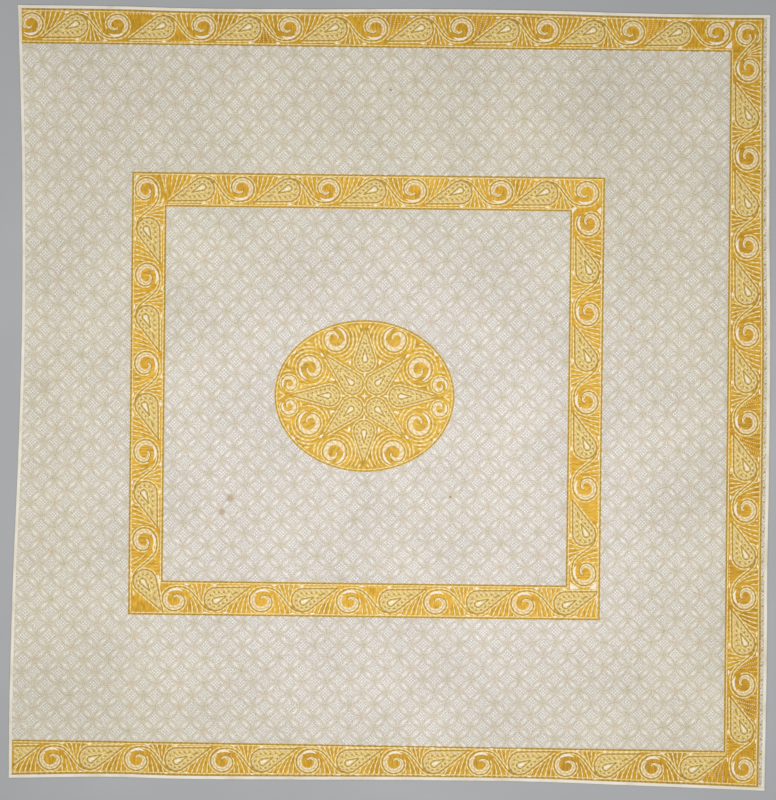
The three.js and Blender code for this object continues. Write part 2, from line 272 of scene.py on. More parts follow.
def between(lines, steps, at):
    """Values at counted steps, an even share of the way from one line to the next."""
    marks = np.concatenate([[0], np.cumsum(steps[:-1])])
    return np.stack([np.interp(at, marks, column) for column in lines.T], 1)


# %% The cloth's points
FINE = 4  # points to each quilting step
u = np.linspace(0, ACROSS, ACROSS * FINE + 1)
v = np.linspace(0, UP, UP * FINE + 1)
x_mean = between(UPRIGHTS[:, :2].mean(1, keepdims=True), UPRIGHTS[:, 4], u)[:, 0]
y_mean = between(LEVELS[:, :2].mean(1, keepdims=True), LEVELS[:, 4], v)[:, 0]

x_lines = UPRIGHTS[:, :1] + (UPRIGHTS[:, 1:2] - UPRIGHTS[:, :1]) * v / UP
x_lines[0], x_lines[-1] = left_edge(y_mean), right_edge(y_mean)
y_lines = LEVELS[:, :1] + (LEVELS[:, 1:2] - LEVELS[:, :1]) * u / ACROSS
y_lines[0], y_lines[-1] = bottom_edge(x_mean), top_edge(x_mean)
cloth_x = between(x_lines, UPRIGHTS[:, 4], u)
cloth_y = between(y_lines, LEVELS[:, 4], v).T
print("cloth", cloth_x.shape, "points, from", cloth_x.min(), "to", cloth_x.max(), "mm across")

# %% The quilting's lines
# Ruled by hand, they drift: the steps counted across and up are cubics of the place in metres.
# Each row: powers of x and y, then steps across and up outside the frame, and the same inside it
DRIFT = np.array([
    [0, 0, 0.000, 1.517, 0.930, 0.962],
    [0, 1, 0.043, 28.291, -0.320, 27.849],
    [0, 2, 0.333, -0.491, -0.848, -0.482],
    [0, 3, 0.081, -0.115, -0.679, 1.099],
    [1, 0, 28.853, -0.606, 28.514, -0.496],
    [1, 1, 0.053, 0.297, 0.184, 0.432],
    [1, 2, -0.362, 0.193, -0.898, 0.452],
    [2, 0, -0.021, -0.001, -0.483, 0.687],
    [2, 1, -0.193, -0.115, -0.217, -0.051],
    [3, 0, -0.037, 0.194, -0.662, 0.506],
])


def steps_at(x, y, first):
    """Steps across and up at a place: products of powers of its metres, each times a number of the table."""
    products = (x[..., None] * MM) ** DRIFT[:, 0] * (y[..., None] * MM) ** DRIFT[:, 1]
    return products @ DRIFT[:, first : first + 2]


# %% The cloth's relief
MEDALLION = np.array([-79.0, 2.0])
MEDALLION_HALF = np.array([262.0, 221.0])
U, V = np.meshgrid(u, v, indexing="ij")


def box(left, right, low, high):
    """True inside a rectangle that is given in steps."""
    return (U > left) & (U < right) & (V > low) & (V < high)


inside = box(10.5, 46.5, 14.5, 48.5)[..., None]
steps = np.where(inside, steps_at(cloth_x, cloth_y, 4), steps_at(cloth_x, cloth_y, 2))
ring_a = (steps[..., 0] + steps[..., 1]) / 2
ring_b = (steps[..., 0] - steps[..., 1]) / 2

in_border = (V < 3) | (V > 60) | (U > 58)
in_frame = box(9, 48, 13, 50) & ~box(12, 45, 16, 47)
oval = np.linalg.norm((np.stack([cloth_x, cloth_y], 2) - MEDALLION) / MEDALLION_HALF, axis=2)
quilted = ~(in_border | in_frame | (oval < 1.01))
# Some parts are plumper than others
slow = 0.5 + 0.5 * np.sin(0.19 * U + 1.1) * np.sin(0.17 * V + 0.3)
cloth_z = VALLEY + quilt_rise(next_ring(ring_a, ring_b)) * quilted * (0.85 + 0.3 * slow)
cloth_under = np.zeros_like(cloth_z)
cloth_under[[0, -1]] = EDGE_UNDER
cloth_under[:, [0, -1]] = EDGE_UNDER
print("relief from", cloth_z.min(), "to", cloth_z.max(), "mm")

# %% [markdown]
# The finish of the quilted cotton
#
# Washed white cotton is matt and slightly warm. From a few metres the eye sees three things:
# the bright crowns of the petals, a painted highlight above painted shade on their slopes,
# a trellis of tiny dots in the fields between darker silk threads, and a yellow-grey spot where the sewn
# rings cross.
# The shader repeats the ring formula: the lattice coordinates are folded into one quarter of a ring, and a
# distance gives the zone.

# %% Quilted cotton
# Stains of long use: x, y and reach in mm, and how deep the brown is
STAINS = [
    (-465, -299, 15, 0.55), (-488, -340, 13, 0.5), (-1006, 22, 27, 0.25),
    (173, -288, 5, 0.9), (-14, 890, 5, 0.9),
]


def quilted_cotton():
    """Handwoven cotton, sewn through in pale yellow silk, washed and a little stained, with painted light and
    shade on its puffed petals.
    """
    made, node, place = new_finish("washed_quilted_cotton", 0.85, 0.15)
    lattice = node("UVMap", uv_map="pattern")
    half, less_half = (0.5, 0.5, 0.5), (-0.5, -0.5, -0.5)
    folded = node("VectorMath", {0: lattice, 1: half, 2: less_half}, operation="WRAP")
    quarter = node("VectorMath", {0: folded}, operation="ABSOLUTE")
    # Turned and scaled, so that the next ring's middle is at (1, 1) and the crossing of seams at (1, 0)
    root = 2**0.5
    turned = node("Mapping", {"Vector": quarter, "Rotation": (0, 0, -np.pi / 4), "Scale": (root, root, 1)})
    corner = node("VectorMath", {0: turned}, operation="ABSOLUTE")
    distance = node("VectorMath", {0: corner, 1: (1, 1, 0)}, operation="DISTANCE", out="Value")
    crossing = node("VectorMath", {0: corner, 1: (1, 0, 0)}, operation="DISTANCE", out="Value")

    # The trellis in the fields: threads 7 mm apart, in place of 5 mm, with a pale dot in each mesh
    cells = node("VectorMath", {0: lattice, 3: 7.3}, operation="SCALE")
    cell = node("VectorMath", {0: cells, 1: half, 2: less_half}, operation="WRAP")
    from_dot = node("VectorMath", {0: cell}, operation="LENGTH", out="Value")
    dots = node("ValToRGB", {0: from_dot}, stops=[(0.14, "#F4F0E8"), (0.34, "#DBD6CB"), (0.62, "#C3BCAD")])

    # From the petal's middle to the seam: a painted highlight on the crown, painted shade on its slope, and
    # the sewn line
    share = node("MapRange", {0: distance, 1: 0.707, 2: 1.414})
    petal_light_shade_and_seam = node("ValToRGB", {0: share}, stops=[
        (0.0, "#F0EBE2"), (0.06, "#E8E3D9"), (0.13, "#DBD5CA"), (0.24, "#D3CDC0"),
        (0.36, "#CFC8B6"), (0.415, "#CBC2AA"), (0.48, "#D6D0C4")])
    in_field = node("MapRange", {0: distance, 1: 1.03, 2: 1.09})
    sewn = node("Mix", {0: in_field, 6: petal_light_shade_and_seam, 7: dots}, data_type="RGBA", out=2)
    near = node("MapRange", {0: crossing, 1: 0.55, 2: 0.1, 4: 0.7})
    hue = node("TexNoise", {"Vector": place, "Scale": 22.0, "Detail": 0.0})
    knot = node("ValToRGB", {0: hue}, stops=[(0.35, "#CAC3A4"), (0.5, "#D1C7AB"), (0.65, "#D6C5AC")])
    crossed = node("Mix", {0: near, 6: sewn, 7: knot}, data_type="RGBA", out=2)

    # Here and there the pattern fades towards one flat colour, as where long washing has pressed petals flat:
    # the painted highlight and shade of the petals fade there together with the dots and seams
    pressed = node("TexNoise", {"Vector": place, "Scale": 24.0, "Detail": 1.0})
    fading = node("MapRange", {0: pressed, 1: 0.4, 2: 0.62, 3: 0.0, 4: 0.35})
    faded = node("Mix", {0: fading, 6: crossed, 7: linear("#D7D1C5")}, data_type="RGBA", out=2)

    # Uneven colour: broad patches of 250 mm and a grain of 3 mm
    broad = node("TexNoise", {"Vector": place, "Scale": 4.0, "Detail": 3.0})
    fine = node("TexNoise", {"Vector": place, "Scale": 320.0, "Detail": 1.0})
    both = node("Math", {0: fine, 1: 4.0, 2: broad}, operation="MULTIPLY_ADD")
    worn = node("MapRange", {0: both, 1: 1.5, 2: 3.5, 3: 0.755, 4: 1.345})
    shade = node("Mix", {0: 1.0, 6: faded, 7: worn}, data_type="RGBA", blend_type="MULTIPLY", out=2)
    for x, y, reach, depth in STAINS:
        spot = ((x + CENTRE[0]) * MM, (y + CENTRE[1]) * MM, 0.003)
        away = node("VectorMath", {0: place, 1: spot}, operation="DISTANCE", out="Value")
        stained = node("MapRange", {0: away, 1: 0.4 * reach * MM, 2: reach * MM, 3: depth, 4: 0.0})
        shade = node("Mix", {0: stained, 6: shade, 7: linear("#A9895C")}, data_type="RGBA", out=2)
    # Whitest inside the frame, round the place where the light above is brightest, which is a painted pool of
    # light; yellower towards the edges
    from_brightest_place = node("VectorMath", {0: place, 1: (0.05, -0.3, 0.0)}, operation="DISTANCE", out="Value")
    light_pool_and_yellowing = node("ValToRGB", {0: from_brightest_place}, stops=[(0.55, "#FCFBFF"), (1.0, "#F9F8F4")])
    toned = node("Mix", {0: 1.0, 6: shade, 7: light_pool_and_yellowing}, data_type="RGBA", blend_type="MULTIPLY", out=2)

    weave = node("TexNoise", {"Vector": place, "Scale": 350.0, "Detail": 1.0})
    stitch = node("MapRange", {0: share, 1: 0.36, 2: 0.41, 3: 1.0, 4: 0.0})
    raised = node("MapRange", {0: from_dot, 1: 0.1, 2: 0.5, 3: 0.6, 4: 0.0})
    lumps = node("Math", {0: stitch, 1: raised}, operation="MAXIMUM")
    height = node("Math", {0: weave, 1: 0.35, 2: lumps}, operation="MULTIPLY_ADD")
    return dress(made, toned, height, 0.6, 0.0012)


# %% Lay the cloth
points, faces = slab(np.stack([cloth_x, cloth_y, cloth_z], 2), cloth_under, FINE)
lattice = np.stack([ring_a, ring_b], 2)
cloth_uv = np.concatenate([lattice.reshape(-1, 2), lattice[::FINE, ::FINE].reshape(-1, 2)])
cotton = quilted_cotton()
cloth = add_piece("quilted_cotton", points, faces, cloth_uv, cotton, "quilted_cotton", "quilted_cloth")

# %% [markdown]
# Where the motifs stand
#
# The border and the frame are one running scroll: a spiral, a drop that leans on it, the next spiral.
# Each band is a table row: which way the scroll runs, the lines on both sides of it, and where its first
# and last spirals and drops are. The medallion has a star of eight drops with spirals in between.

# %% The bands' lines
TAPE_LAP = 9.0  # from an edge to the border, under the tape
STRIP_LAP = 18.0  # on the right a plain strip lies between them
BAND = 100.0  # width of the frame's arms
TOP_MIDDLE, BOTTOM_MIDDLE = 1064.0, -1061.0  # of the border's arms
FRAME_TOP, FRAME_RIGHT, FRAME_BOTTOM = 644.0, 611.0, -640.0  # the frame's straight outer sides


def ruled(across, drift=0.0, start=0.0, length=1.0):
    """A ruled line: its place across the cover, with a drift over its length."""
    return lambda at: across + drift * (at - start) / length


def moved(curve, by):
    """A line moved across by some millimetres."""
    return lambda at: curve(at) + by


border_top_in, border_top_out = ruled(1012.0), moved(top_edge, -TAPE_LAP)
border_bottom_in, border_bottom_out = ruled(-1006.0, -8.0, -1097, 2192), moved(bottom_edge, TAPE_LAP)
border_right_in, border_right_out = ruled(975.0, -6.0, -1128, 2249), moved(right_edge, -STRIP_LAP)
frame_left_out = ruled(-756.0, -5.0, -1117, 2240)
frame_left_in = moved(frame_left_out, BAND)
print("the right arm is", border_right_out(0.0) - border_right_in(0.0), "mm wide half way up")

# %% Runs of the scroll
# Quarter turns of its heading, the lines on both sides, and for spirals and drops: first, last, number, bow
RUNS = [
    (0, border_top_in, border_top_out, (-808, 933, 8, 3), (-928, 820, 8, 3)),
    (3, border_right_in, border_right_out, (961, -822, 8, -5), (824, -955, 8, -3)),
    (2, border_bottom_in, border_bottom_out, (766, -977, 8, 0), (883, -1109, 9, 0)),
    (0, ruled(FRAME_TOP - BAND), ruled(FRAME_TOP), (-440, 559, 5, 0), (-555, 441, 5, 0)),
    (3, ruled(FRAME_RIGHT - BAND), ruled(FRAME_RIGHT), (508, -506, 5, -9), (371, -391, 4, -2)),
    (2, ruled(FRAME_BOTTOM + BAND), ruled(FRAME_BOTTOM), (387, -624, 5, 0), (511, -503, 5, 0)),
    (1, frame_left_in, frame_left_out, (-422, 345, 4, 0), (-542, 478, 5, 0)),
]
# Spirals that turn a corner: x, y, quarter turns, radius
CORNERS = np.array([
    [1019, 1063, 1, 33], [1030, -1067, 3, 35], [-1057, 1067, 0, 35], [-717, 594, 1, 35],
], float)
DRAWN = 34.0  # radius at which a spiral is drawn
BORDER_SPIRAL, FRAME_SPIRAL = 35.5, 36.0  # radius at which it stands in the bands
REPEAT_AHEAD = 117.5  # from a drop to the spiral that its stem runs to
turns, _, _, spirals, drops = zip(*RUNS)


def stand(rows, share):
    """Middles of all spirals or drops: a share of the way across, and evenly spaced but for a bow,
    which is how far the middle one has slipped along."""
    middles = []
    for (turn, inner, outer, *_), (first, last, count, bow) in zip(RUNS, rows):
        step = np.linspace(0, 1, count)
        along = first + (last - first) * step + 4 * bow * step * (1 - step)
        across = inner(along) * (1 - share) + outer(along) * share
        middles.append(np.stack([across, along] if turn % 2 else [along, across], 1))
    return np.concatenate(middles)


spiral_count, drop_count = ([row[2] for row in rows] for rows in (spirals, drops))
spiral_at = np.concatenate([stand(spirals, 0.53), CORNERS[:, :2]])
spiral_turn = np.append(np.repeat(turns, spiral_count), CORNERS[:, 2]) * np.pi / 2
radii = np.repeat([BORDER_SPIRAL] * 3 + [FRAME_SPIRAL] * 4, spiral_count)
spiral_size = np.append(radii, CORNERS[:, 3]) / DRAWN
drop_at = stand(drops, 0.52)
drop_turn = np.repeat(turns, drop_count) * np.pi / 2
drop_turn[-5] += 0.2  # the one in the frame's lower left corner leans into it
ahead = drop_at + REPEAT_AHEAD * heading(drop_turn)
to_spiral = np.linalg.norm(ahead[:, None] - spiral_at, axis=2)
joined = to_spiral.min(1) < 45  # the last drop below is cut through by the left binding
next_spiral = to_spiral.argmin(1)[joined]
loose = np.setdiff1d(np.arange(len(spiral_at)), next_spiral)
print(len(spiral_at), "spirals and", len(drop_at), "drops in the bands;", len(loose), "spirals start a run")

# %% The medallion's motifs
quadrant = np.array([[1, 1], [-1, 1], [-1, -1], [1, -1]], float)
# Spirals in one quarter: x, y, radius, and the direction of the white crescent in degrees
curls = np.array([[84, 163, 37, 138], [161, 80, 37, -38], [219, 35, 23.5, 0]], float)
star_curl_at = (curls[:, None, :2] * quadrant).reshape(-1, 2) + MEDALLION
star_curl_size = np.repeat(curls[:, 2], 4) / DRAWN
star_curl_hand = np.tile(quadrant[:, 0] * quadrant[:, 1], 3)
crescent_way = (heading(np.radians(curls[:, 3]))[:, None] * quadrant).reshape(-1, 2)
crescent_local = np.radians(np.where(star_curl_hand > 0, 266, 274))
star_curl_turn = np.arctan2(crescent_way[:, 1], crescent_way[:, 0]) - crescent_local
ray = np.arange(8) * np.pi / 4
ray_head = np.where(np.arange(8) % 2 == 0, 101.0, 49.0)
ray_tip = np.array([214.0, 168.0, 197.0, 172.0, 216.0, 170.0, 196.0, 170.0])
ray_way = heading(ray)
star_at = MEDALLION + ray_way * ray_head[:, None]
print(len(star_curl_at), "spirals and", len(star_at), "drops in the medallion")

# %% [markdown]
# The worked grounds
#
# The silk covers the cotton completely in the bands, and the motifs are slightly padded.
# Their level is a flat face with a low swelling at each motif, and every thread later lies on it.

# %% Level of the worked face
PANEL_UNDER, PANEL_TOP = 2.35, 3.3  # underside and face of the worked silk, in mm
SWELL = 0.9  # padding of a motif
# Each swelling: x, y and reach
SWELLINGS = np.concatenate([
    np.column_stack([spiral_at, spiral_size * 38]),
    np.column_stack([drop_at, np.full(len(drop_at), 42.0)]),
    np.column_stack([star_curl_at, star_curl_size * 36]),
    np.column_stack([star_at, np.full(len(star_at), 38.0)]),
])


def worked_level(xy):
    """Height in mm of the worked face: flat, with a round swelling that fades to its rim at each motif."""
    level = np.full(xy.shape[:-1], PANEL_TOP)
    for x, y, reach in SWELLINGS:
        near = np.clip(1 - ((xy[..., 0] - x) ** 2 + (xy[..., 1] - y) ** 2) / reach**2, 0, 1)
        level = np.maximum(level, PANEL_TOP + SWELL * near * (2 - near))
    return level


def lifted(xy, level):
    """Places with their level as a third coordinate."""
    return np.concatenate([xy, np.broadcast_to(level, xy.shape[:-1])[..., None]], -1)


def ground(xy, uv):
    """A slab with the worked level on top, from a grid of places and their pattern coordinates."""
    uv = uv.reshape(-1, 2)
    return *slab(lifted(xy, worked_level(xy)), PANEL_UNDER), np.concatenate([uv, uv])


def band(start, end, low, high, upright):
    """Ground between two lines: a grid along and across the band."""
    along = np.linspace(start, end, int(abs(end - start) / 8) + 1)
    share = np.linspace(0, 1, 13)
    across = low(along)[:, None] * (1 - share) + high(along)[:, None] * share
    along = np.broadcast_to(along[:, None], across.shape)
    xy = np.stack([across, along] if upright else [along, across], 2)
    return ground(xy, np.stack([along, across], 2) * MM)


# %% Ground of the yellow silk
def yellow_silk(name, dark, middle, light):
    """Floss silk in close rows of back stitch: warm yellow, darker and lighter row by row, which is painted
    shade between the rows and painted sheen on them.
    """
    made, node, place = new_finish(name, 0.55, 0.25)
    along = node("UVMap", uv_map="pattern")
    # Real rows are under 1 mm apart; here 5 mm wide, so that they show
    rows = node("Mapping", {"Vector": along, "Scale": (200, 40, 1)})
    streak = node("TexNoise", {"Vector": rows, "Scale": 1.0, "Detail": 3.0, "Roughness": 0.7})
    patch = node("TexNoise", {"Vector": place, "Scale": 9.0, "Detail": 2.0})
    both = node("Math", {0: patch, 1: 0.35, 2: streak}, operation="MULTIPLY_ADD")
    # Darker and lighter rows are painted shade between the stitches and painted sheen on them; the broad
    # patches are uneven silk
    colour = node("ValToRGB", {0: both}, stops=[(0.52, dark), (0.68, middle), (0.84, light)])
    return dress(made, colour, streak, 0.5, 0.0008)


# The border has been handled most, so its silk is a shade darker; the medallion's is the palest
handled_silk = yellow_silk("handled_yellow_floss_silk", "#AE7F12", "#CE9A18", "#E2B43A")
clean_silk = yellow_silk("clean_yellow_floss_silk", "#B6881A", "#DAA522", "#ECBE48")
lemon_silk = yellow_silk("lemon_yellow_floss_silk", "#B2881C", "#D6A524", "#E8BE4A")
GAP = 0.05  # upright arms stop just short of the level ones
start_top, start_bottom = left_edge(TOP_MIDDLE) + TAPE_LAP, left_edge(BOTTOM_MIDDLE) + TAPE_LAP
border = join(
    band(start_top, border_right_out(TOP_MIDDLE), border_top_in, border_top_out, False),
    band(start_bottom, border_right_out(BOTTOM_MIDDLE), border_bottom_out, border_bottom_in, False),
    band(border_bottom_in(1030) + GAP, border_top_in(1030) - GAP, border_right_out, border_right_in, True),
)
add_piece("border_ground", *border, handled_silk, "yellow_silk", "worked_border")
frame_low, frame_high = FRAME_BOTTOM + BAND + GAP, FRAME_TOP - BAND - GAP
frame_ground = join(
    band(frame_left_out(FRAME_TOP - BAND / 2), FRAME_RIGHT, *RUNS[3][1:3], False),
    band(frame_left_out(FRAME_BOTTOM + BAND / 2), FRAME_RIGHT, *RUNS[5][2:0:-1], False),
    band(frame_low, frame_high, *RUNS[4][2:0:-1], True),
    band(frame_low, frame_high, frame_left_in, frame_left_out, True),
)
add_piece("frame_ground", *frame_ground, clean_silk, "yellow_silk", "worked_frame")

# %% Ground of the medallion
square_x, square_y = np.meshgrid(np.linspace(-1, 1, 49), np.linspace(-1, 1, 49), indexing="ij")
# A square grid pressed into a disc: each side bows out to a quarter of the rim
disc_x = square_x * np.sqrt(1 - square_y**2 / 2)
disc_y = square_y * np.sqrt(1 - square_x**2 / 2)
oval_xy = np.stack([disc_x, disc_y], 2) * (MEDALLION_HALF - 1) + MEDALLION
# Its rows of stitches run round the middle
oval_uv = np.stack([np.arctan2(disc_y, disc_x) * 0.12, np.hypot(disc_x, disc_y) * 0.24], 2)
add_piece("medallion_ground", *ground(oval_xy, oval_uv), lemon_silk, "yellow_silk", "worked_medallion")

# %% [markdown]
# Threads, fillings and knots
#
# The drawing on the silk is made of three simple things. A laid cord is a flat-topped ribbon
# along a path; a filling is rings of points inside an outline; a knot is a tiny six-sided mound.
# Each function takes many paths at once, so a motif is drawn once and placed everywhere.

# %% Shapes of thread
BORDER_LIMITS = np.array([[-1082.5, -1106.0], [1072.0, 1104.0]])
FRAME_LIMITS = np.array([[-749.0, -631.0], [602.0, 635.0]])
FOOT = -0.2  # threads start a little below the face, so that no gap shows
FLIP = [0, 3, 2, 1]  # turns a face over
INNER = 800.0  # motifs nearer to the middle belong to the frame or the medallion


def placed(shape, at, turn, size=1.0, hand=1.0):
    """One outline set down at many places: mirrored by hand, scaled by size, turned, moved there,
    and cut off at the rim of the border or the frame."""
    at = np.asarray(at, float)
    turn, size, hand = (np.broadcast_to(value, len(at)) for value in (turn, size, hand))
    x = shape[:, 0] * (size * hand)[:, None]
    y = shape[:, 1] * size[:, None]
    cos, sin = np.cos(turn)[:, None], np.sin(turn)[:, None]
    xy = at[:, None] + np.stack([x * cos - y * sin, x * sin + y * cos], 2)
    inner = ((at[:, 0] < INNER) & (np.abs(at[:, 1]) < INNER))[:, None, None]
    low, high = (np.where(inner, *ends) for ends in zip(FRAME_LIMITS, BORDER_LIMITS))
    return np.clip(xy, low, high)


def sideways(paths):
    """Unit steps to the left of each path's way."""
    ahead = np.gradient(paths, axis=1)
    ahead /= np.linalg.norm(ahead, axis=2, keepdims=True) + 1e-9
    return np.stack([-ahead[..., 1], ahead[..., 0]], 2)


def passed(paths):
    """Length of each path up to each of its points."""
    steps = np.linalg.norm(np.diff(paths, axis=-2), axis=-1)
    return np.concatenate([np.zeros_like(steps[..., :1]), np.cumsum(steps, -1)], -1)


def lofted(xy, level, turned=False):
    """Closed bodies from rings of points (bodies, rings, points round a ring): walls between
    neighbouring rings, and a cap on the first and the last; turned over if need be."""
    points = lifted(xy, level).reshape(-1, 3)
    index = np.arange(len(points)).reshape(xy.shape[:3])
    after = np.roll(index, -1, axis=2)
    walls = np.stack([index[:, :-1], index[:, 1:], after[:, 1:], after[:, :-1]], 3).reshape(-1, 4)
    if turned:
        return points, [walls[:, FLIP], index[:, -1], index[:, 0, ::-1]]
    return points, [walls, index[:, 0], index[:, -1, ::-1]]


def carried(paths, sides, offsets, levels, around, turned=False):
    """A closed profile carried along each path: how far its points lie to the side, their levels,
    and their pattern coordinates round the profile."""
    xy = paths[:, :, None] + sides[:, :, None] * offsets[..., None]
    uv = np.stack(np.broadcast_arrays(passed(paths)[..., None], around), 3) * MM
    return *lofted(xy, levels, turned), uv.reshape(-1, 2)


def cords(paths, width, rise, full=1.0):
    """Laid cords: a flat-topped profile along each path. Full scales its width and rise on the way."""
    paths = np.asarray(paths, float)
    full = np.broadcast_to(full, paths.shape[1])[:, None]
    aside = np.array([-0.5, -0.32, 0.32, 0.5]) * width
    up = np.where([False, True, True, False], rise * full, FOOT)
    return carried(paths, sideways(paths), full * aside, worked_level(paths)[..., None] + up, aside)


def fillings(outlines, middles, rise):
    """Filled shapes: the outline, drawn in towards a middle in three rings that rise to a low crown."""
    rings = np.array([1.0, 0.94, 0.6, 0.25])
    lift = np.array([FOOT, 0.6 * rise, 0.9 * rise, rise])
    local = (outlines - middles[:, None])[:, None] * rings[:, None, None]
    xy = middles[:, None, None] + local
    return *lofted(xy, worked_level(xy) + lift[:, None], True), local.reshape(-1, 2) * MM


def knots(at, radius, rise, level):
    """Small knots: six points on a circle at the foot and six on a smaller one at the top."""
    ring = radius * heading(np.arange(6) * np.pi / 3)
    xy = at[:, None, None] + ring * np.array([1.0, 0.65])[:, None, None]
    z = np.broadcast_to(level, len(at))[:, None, None] + np.array([FOOT, rise])[:, None]
    return *lofted(xy, z, True), xy.reshape(-1, 2) * MM


def sew_on(name, finish, *parts):
    """Threads, fillings and knots of one finish become one piece."""
    return add_piece(name, *join(*parts), finish, "yellow_silk")


# %% [markdown]
# The scroll's lines
#
# One line makes the scroll: it rises along the side of a drop as its outline, leaves it over the head,
# swings under the next spiral, goes once round it and winds into its middle.
# Key points of the stem are joined by a smooth curve; the spiral is a distance that shrinks with the angle.

# %% Outlines of the motifs
def arc(radius, start, end, count):
    """Part of a circle about the origin, angles in degrees."""
    return radius * heading(np.radians(np.linspace(start, end, count)))


def line(start, end, count):
    """Evenly spaced points from start towards end, without the last."""
    return np.linspace(start, end, count, endpoint=False)


def drop(head, tip, sides=9, round_points=26):
    """A drop about its head: from the tip along a tangent to the round head, round it, and back."""
    tip = np.asarray(tip, float)
    lean = np.degrees(np.arctan2(tip[1], tip[0]))
    half = np.degrees(np.arccos(head / np.hypot(*tip)))
    bow = arc(head, lean + half, lean + 360 - half, round_points)
    return np.concatenate([line(tip, bow[0], sides), bow, line(tip, bow[-1], sides)[::-1]])


def even(path, count, curve=np.interp):
    """A path with its points spread evenly along it, on straight lines or another curve between them."""
    path = np.asarray(path, float)
    run = passed(path)
    at = np.linspace(0, run[-1], count)
    return np.stack([curve(at, run, column) for column in path.T], 1)


def curl(turns, reaches, count):
    """A winding line: its distance from the middle changes smoothly between given angles in degrees."""
    turn = np.linspace(turns[0], turns[-1], count)
    reach = eased(turn, np.asarray(turns, float), np.asarray(reaches, float))
    return reach[:, None] * heading(np.radians(turn))


# %% Stem, spiral and drop
HEAD = 33.5  # radius of a drop's head, which is the origin here
TIP = np.array([-99.0, -35.5])
DROP = drop(HEAD, TIP)
CORE_AT = np.array([0.0, 5.5])  # middle of the drop's white core
NEXT, BEFORE = np.array([REPEAT_AHEAD, 1.0]), np.array([-132.0, 1.0])  # spirals on both sides of it
# The spiral from outside in: angles in degrees and distances from its middle
TURNS = [218, 237, 262, 300, 360, 450, 520, 545, 561, 587, 614, 648, 672]
WINDING = [32.0, 32.2, 32.4, 31.3, 28, 24, 17.6, 12.5, 8, 3]
VOLUTE = curl(TURNS, [46, 39.2, 33.6] + WINDING, 72)
LONE_VOLUTE = curl(TURNS, [33, 32.6, 32.2] + WINDING, 72)
STEM_KEYS = [(4, 34.2), (17, 32), (28, 27.5), (39, 17.5), (50, 3.5), (61, -10), (71, -20), NEXT + VOLUTE[0]]
STEM = even(STEM_KEYS, 24, eased)
# The cream band inside it, how full it is, and the white crescent below
BAND_TURNS = [-50, 0, 90, 150, 185, 201, 227, 254, 288]
CREAM_BAND = curl(BAND_TURNS, [24.2, 24, 24.4, 24, 21.4, 17.6, 12.4, 8.2, 4], 40)
CREAM_FULL = np.interp(np.linspace(-50, 288, 40), BAND_TURNS, [0.6, 1, 1, 1, 0.9, 0.8, 0.6, 0.5, 0.35])
CRESCENT = curl([222, 242, 265, 290, 318], [31.5, 29, 26.8, 25.4, 24.6], 12)
print("stem", passed(STEM)[-1], "mm long, spiral", passed(VOLUTE)[-1], "mm")

# %% The scroll laid out
everywhere = (drop_at, drop_turn)
whole = (drop_at[joined], drop_turn[joined])
spiral_set = (spiral_at, spiral_turn, spiral_size)
star_set = (star_curl_at, star_curl_turn, star_curl_size, star_curl_hand)
stems = placed(STEM, *everywhere)
volutes = placed(VOLUTE, *spiral_set)
# Each stem is stretched a little, more and more along its way, to meet its spiral
short_of = volutes[next_spiral][:, :1] - stems[joined][:, -1:]
met = stems[joined] + short_of * np.linspace(0, 1, len(STEM))[:, None] ** 1.5
scrolls = np.concatenate([met[:, :-1], volutes[next_spiral]], 1)
lone = np.concatenate([placed(LONE_VOLUTE, *spiral_set)[loose], placed(LONE_VOLUTE, *star_set)])
lone_hand = np.concatenate([np.ones(len(loose)), star_curl_hand])[:, None, None]
# The link between the two spirals in the upper right corner
LINK = [(1046, 1066), (1045, 1054), (1036, 1039), (1020, 1023), (1003, 1003), (990, 984), (984, 964)]
corner_link = even(LINK, 20, eased)[None]
print(len(scrolls), "stems that end in a spiral,", len(lone), "spirals alone")

# %% [markdown]
# Ribs
#
# The yellow between the motifs is ribbed with pale thread, in palmettes that open to the band's edge.
# Curved candidates are drawn across each gap, and only the stretch that is clear of every motif is kept.
# As on the real cover, some gaps are left plain, most are ribbed and some are sown with beads.

# %% Ribs of the bands
def clear_runs(paths, free, count, shortest):
    """Every run of free points on the paths, if it is long enough, spread evenly on count points."""
    kept = []
    for path, good in zip(paths, free):
        edges = np.flatnonzero(np.diff(np.concatenate([[0], good.astype(int), [0]])))
        for start, end in zip(edges[::2], edges[1::2]):
            run = path[start:end]
            if len(run) > 2 and passed(run)[-1] > shortest:
                kept.append(even(run, count))
    return np.array(kept).reshape(-1, count, 2)


def off(points, middle):
    """Distance of each point from a middle."""
    return np.linalg.norm(points - middle, axis=-1)


MOTIF_POINTS = np.concatenate([STEM, NEXT + VOLUTE[:30], DROP])
SPIRAL_ROOM, DROP_ROOM, LINE_ROOM = 41.0, 39.5, 6.5  # from a motif's middle, and from its lines


def clear(points):
    """True where the ground of a repeat is free: off the stem and the drop, and outside both spirals."""
    nearest = np.linalg.norm(points[..., None, :] - MOTIF_POINTS, axis=-1).min(-1)
    outside = (off(points, NEXT) > SPIRAL_ROOM) & (off(points, BEFORE) > SPIRAL_ROOM)
    return outside & (off(points, (0, 0)) > DROP_ROOM) & (nearest > LINE_ROOM)


def bowed(apex, mouth, bow, share):
    """Curves from an apex to the mouth, each drawn aside by the bow about half way up."""
    bend = apex + (mouth - apex) * np.array([bow, 0.45])
    return apex * (1 - share) ** 2 + bend * 2 * share * (1 - share) + mouth * share**2


